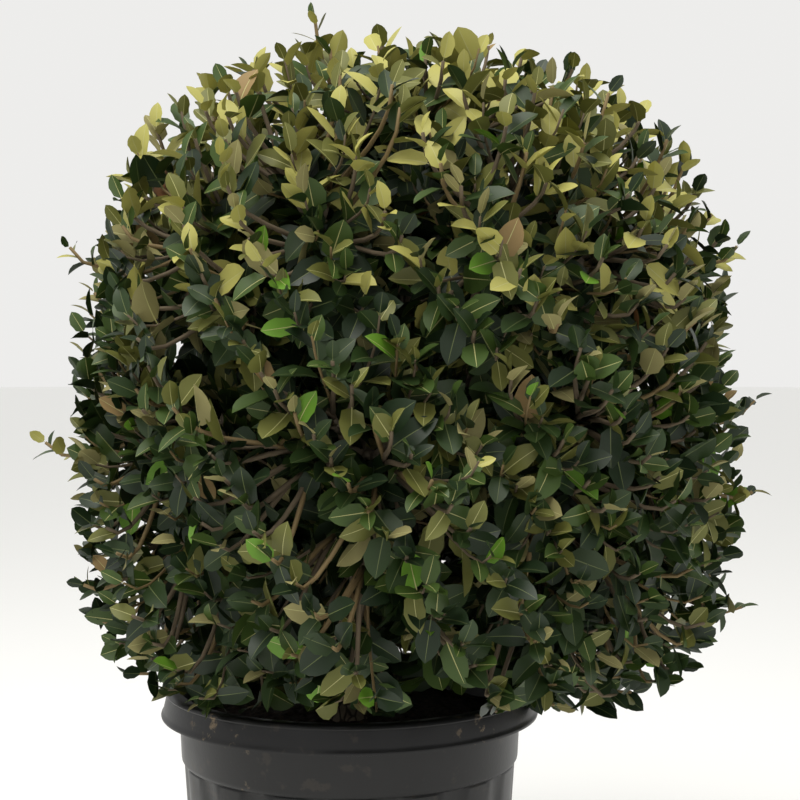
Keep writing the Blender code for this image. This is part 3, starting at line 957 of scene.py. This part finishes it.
def kind_of_leaf(rng, height, underside, newest, spray, stray, deep_in_shade):
    """Which finish a leaf takes, from its height, the side that shows, its age, its spray and its
    depth.

    Each of LEAF_KINDS has its weight, in the same order. The dark kinds weigh more the lower a
    leaf hangs and the deeper inside the crown it lies, as painted shade; the lighter kinds weigh
    more the higher it stands, partly for young growth and partly as painted light.
    """
    # Painted shade and light by height: the dark kinds weigh more low down; the olive, underside
    # and young kinds weigh more high up, partly for young growth and partly as painted light
    low = 1 - height
    young = max(0.0, height - YOUNG_AND_LIT_ABOVE) * (5.6 if newest else 2.0)
    if stray and newest:
        young += 0.5
    weights = (
        (1.5 * low + 0.10) * (1.4 - spray) + (2.5 if deep_in_shade else 0.0),
        (1.1 * low + 0.35) * (1.3 - spray * 0.6),
        0.85,
        (0.22 + 0.9 * height) * (0.5 + spray),
        (1.5 if underside else 0.08) * (0.30 + height),
        young * (0.4 + spray * 1.3),
        0.05 + 0.05 * spray,
        0.018 + 0.012 * height,
        0.007,
    )
    return rng.choices(range(len(weights)), weights)[0]


def leaves_of(curve, stray, looks, rng):
    """The leaves of one twig, in a spiral back from its end, each as a row of numbers.

    One that would stand out of the crown is turned a few times, and then left out.
    """
    tip = curve[-1] - CROWN_CENTRE
    past = max(0.0, tip.length - reach(tip)) + (STRAY_REACH if stray else SURFACE_REACH)
    full_length = looks.length * (STRAY_LEAF_SHARE if stray else 1.0)
    turn = rng.uniform(0, 2 * math.pi)
    spray = rng.random()
    for k in range(looks.leaves // 2 if is_leader(curve[-1]) else looks.leaves):
        back = LEAFY_LENGTH * (k / looks.leaves) ** LEAFY_POWER
        root, heading = point_back_from_tip(curve, back)
        side = heading.orthogonal().normalized()
        opened = LEAF_TILT_SHARES[k] if k < len(LEAF_TILT_SHARES) else 1.0
        age = LEAF_AGES[k] if k < len(LEAF_AGES) else 1.0
        for attempt in range(LEAF_TRIES):
            spin = turn + GOLDEN_TURN * k + attempt * GOLDEN_TURN / 2
            tilt = math.radians(rng.uniform(*LEAF_TILT)) * opened
            around = Matrix.Rotation(spin, 3, heading) @ side
            along = heading * math.cos(tilt) + around * math.sin(tilt)
            along = (along + UP * rng.uniform(*LEAF_LIFT)).normalized()
            scatter = Vector([rng.gauss(0, LEAF_FACE_SCATTER) for _ in range(3)])
            face = heading * LEAF_FACE_AHEAD + UP * LEAF_FACE_UP + scatter
            face = (face - along * face.dot(along)).normalized()
            length = full_length * age * rng.uniform(*LEAF_LENGTHS)
            if in_reach(root + along * length, past):
                break
        else:
            continue
        outward = root + along * length * 0.5 - CROWN_CENTRE
        underside = face.dot(outward) < 0
        height = min(1.0, max(0.0, (root.z - SHADE_AND_GROWTH_FOOT) / SHADE_AND_GROWTH_HEIGHT))
        # Leaves this deep inside the crown mostly take the darkest kind, as painted shade
        deep_in_shade = outward.length < reach(outward) * SHADE_DEPTH_SHARE
        kind = kind_of_leaf(rng, height, underside, k < YOUNG_ORDERS, spray, stray, deep_in_shade)
        width = looks.width * length / looks.length * rng.uniform(*LEAF_WIDTHS)
        fold, curl = rng.uniform(*LEAF_FOLD), rng.uniform(*LEAF_CURL)
        yield (*root, *along, *face.cross(along), *face, length, width, fold, curl, kind)


def leaf_mesh(name, rows, template):
    """All the leaves of one mass as one mesh, with each leaf's finish as its material."""
    points, triangles, ribs = template
    rows = np.array(rows)
    root, along, across, face = (rows[:, None, k:k + 3] for k in (0, 3, 6, 9))
    length, width, fold, curl = (rows[:, k, None] for k in (12, 13, 14, 15))
    x = points[None, :, 0] * length
    y = points[None, :, 1] * width / 2
    z = fold * np.abs(y) - curl * x**2 / length
    places = root + along * x[..., None] + across * y[..., None] + face * z[..., None]
    corners = triangles[None] + (np.arange(len(rows)) * len(points))[:, None, None]
    kinds = rows[:, 16].astype(int)
    pale = np.array([kind[3] for kind in LEAF_KINDS])[kinds]
    rib_slot = len(LEAF_KINDS) + pale.astype(int)
    slots = np.where(ribs[None], rib_slot[:, None], kinds[:, None])
    mesh = bpy.data.meshes.new(name)
    mesh.from_pydata(places.reshape(-1, 3).tolist(), [], corners.reshape(-1, 3).tolist())
    mesh.polygons.foreach_set("material_index", slots.reshape(-1).astype(np.int32))
    return mesh


def twig_mesh(name, limbs):
    """All the twigs of one mass as one mesh. Each is made apart, in a small bmesh of its own."""
    mesh = bpy.data.meshes.new(name)
    whole = bmesh.new()
    for number, (curve, first, last, serves) in enumerate(limbs):
        steps = len(curve) - 1
        radii = [first + (last - first) * i / steps for i in range(steps + 1)]
        stout = serves > STOUT_TIPS
        sides = STOUT_SIDES if stout else THIN_SIDES
        material = 0 if serves > OLD_TIPS else 1 if number % 3 else 2
        bm = bmesh.new()
        add_limb(bm, curve, radii, sides, TWIG_RELIEF if stout else 0.0, material)
        bm.to_mesh(mesh)
        bm.free()
        whole.from_mesh(mesh)
    bmesh.ops.recalc_face_normals(whole, faces=whole.faces)
    whole.to_mesh(mesh)
    whole.free()
    return mesh


def stray_tips(plan):
    """The tips of the stray shoots, by the name of the mass that each stands nearest to."""
    strays = {name: [] for name, _, _, _ in plan}
    for offset in map(Vector, STRAY_SHOOTS):
        nearest = max(plan, key=lambda mass: offset.dot(mass[1]))
        strays[nearest[0]].append(CROWN_CENTRE + offset)
    return strays


def build_foliage(looks):
    leaf_finishes = [new_material(name, colour, rough) for name, colour, rough, _ in LEAF_KINDS]
    leaf_finishes += [new_material(*kind) for kind in RIB_KINDS]
    twig_finishes = [new_material(*kind) for kind in TWIG_KINDS]
    template = leaf_template()
    plan = mass_plan()
    ways = [outward for _, outward, _, _ in plan]
    strays = stray_tips(plan)
    for name, outward, _, _ in plan:
        rng = random.Random(f"{SEED} {name}")
        space = Space(outward, [other for other in ways if other != outward])
        limbs = []
        start = CROWN_CENTRE + outward * HOLLOW_DEPTH
        grow(limbs, start, outward, tips_in(space, looks.twigs, rng) + strays[name])
        rows = []
        for curve, _, _, serves in limbs:
            if serves == 1:
                stray = any((curve[-1] - tip).length < 1e-6 for tip in strays[name])
                rows += leaves_of(curve, stray, looks, rng)
        wood, green = f"twigs_{name}", f"leaves_{name}"
        twigs = piece_from(twig_mesh(wood, limbs), wood, twig_finishes)
        leaves = piece_from(leaf_mesh(green, rows, template), green, leaf_finishes)
        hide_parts(f"foliage_{name}")
        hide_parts(f"foliage_{name}")


def build_floor(looks):
    bm = bmesh.new()
    bmesh.ops.create_circle(bm, cap_ends=True, segments=FLOOR_SIDES, radius=FLOOR_RADIUS)
    floor = shown("floor", mesh_of(bm, "floor"))
    floor.data.materials.append(new_material("floor", looks.floor_colour, 0.9))


def build_lights(looks):
    """An even pale sky, and one large soft light overhead."""
    world = bpy.data.worlds.new("studio")
    world.use_nodes = True
    sky = world.node_tree.nodes["Background"]
    sky.inputs["Color"].default_value = (*SKY_COLOUR, 1.0)
    sky.inputs["Strength"].default_value = looks.sky_strength
    bpy.context.scene.world = world
    bpy.context.scene.view_settings.view_transform = "Standard"
    light = bpy.data.lights.new("key", "AREA")
    light.shape = "DISK"
    light.size = KEY_SIZE
    light.energy = looks.key_power
    light.color = KEY_COLOUR
    key = shown("key", light)
    key.location = KEY_PLACE
    way = Vector(KEY_TARGET) - Vector(KEY_PLACE)
    key.rotation_euler = way.to_track_quat("-Z", "Y").to_euler()


def build_camera(looks):
    camera = shown("camera", bpy.data.cameras.new("camera"))
    camera.data.sensor_width = SENSOR_WIDTH
    camera.data.lens = LENS
    camera.location = (CAMERA_X, -looks.camera_distance, CAMERA_HEIGHT)
    camera.rotation_euler = (math.radians(90 + CAMERA_PITCH), 0, 0)
    bpy.context.scene.camera = camera


class HOLMOAK_OT_stage(Operator):
    """Add the floor, the lights and the camera."""

    bl_idname = "holmoak.stage"
    bl_label = "Stage"

    def execute(self, context):
        build_floor(context.scene.holmoak_stage)
        build_lights(context.scene.holmoak_stage)
        build_camera(context.scene.holmoak_stage)
        return {"FINISHED"}


class HOLMOAK_OT_pot(Operator):
    """Build the nursery pot."""

    bl_idname = "holmoak.pot"
    bl_label = "Nursery pot"

    def execute(self, context):
        build_pot(context.scene.holmoak_pot)
        return {"FINISHED"}


class HOLMOAK_OT_soil(Operator):
    """Build the potting soil."""

    bl_idname = "holmoak.soil"
    bl_label = "Potting soil"

    def execute(self, context):
        build_soil(context.scene.holmoak_soil)
        return {"FINISHED"}


class HOLMOAK_OT_wood(Operator):
    """Build the trunk and the boughs with their bark."""

    bl_idname = "holmoak.wood"
    bl_label = "Trunk and boughs"

    def execute(self, context):
        build_wood(context.scene.holmoak_bark)
        return {"FINISHED"}


class HOLMOAK_OT_foliage(Operator):
    """Grow the twigs and leaves of every mass of foliage."""

    bl_idname = "holmoak.foliage"
    bl_label = "Twigs and leaves"

    def execute(self, context):
        build_foliage(context.scene.holmoak_leaf)
        return {"FINISHED"}


# Each group of settings by its name on the scene, and the operator that uses it
STEPS = (
    ("holmoak_stage", StageLooks, HOLMOAK_OT_stage),
    ("holmoak_pot", PotLooks, HOLMOAK_OT_pot),
    ("holmoak_soil", SoilLooks, HOLMOAK_OT_soil),
    ("holmoak_bark", BarkLooks, HOLMOAK_OT_wood),
    ("holmoak_leaf", LeafLooks, HOLMOAK_OT_foliage),
)


class HOLMOAK_PT_sidebar(Panel):
    """Sizes, colours and builders of the clipped holm oak."""

    bl_idname = "HOLMOAK_PT_sidebar"
    bl_label = "Clipped holm oak"
    bl_space_type = "VIEW_3D"
    bl_region_type = "UI"
    bl_category = "Holm Oak"

    def draw(self, context):
        for name, group, operator in STEPS:
            box = self.layout.box()
            box.label(text=group.__doc__)
            for setting in group.__annotations__:
                box.prop(getattr(context.scene, name), setting)
            box.operator(operator.bl_idname)


def register():
    for name, group, operator in STEPS:
        bpy.utils.register_class(group)
        bpy.utils.register_class(operator)
        setattr(bpy.types.Scene, name, PointerProperty(type=group))
    bpy.utils.register_class(HOLMOAK_PT_sidebar)


def unregister():
    bpy.utils.unregister_class(HOLMOAK_PT_sidebar)
    for name, group, operator in reversed(STEPS):
        delattr(bpy.types.Scene, name)
        bpy.utils.unregister_class(operator)
        bpy.utils.unregister_class(group)


def main():
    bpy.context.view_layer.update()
    register()
    bpy.ops.holmoak.stage()
    bpy.ops.holmoak.pot()
    bpy.ops.holmoak.soil()
    bpy.ops.holmoak.wood()
    bpy.ops.holmoak.foliage()


if __name__ == "__main__":
    main()
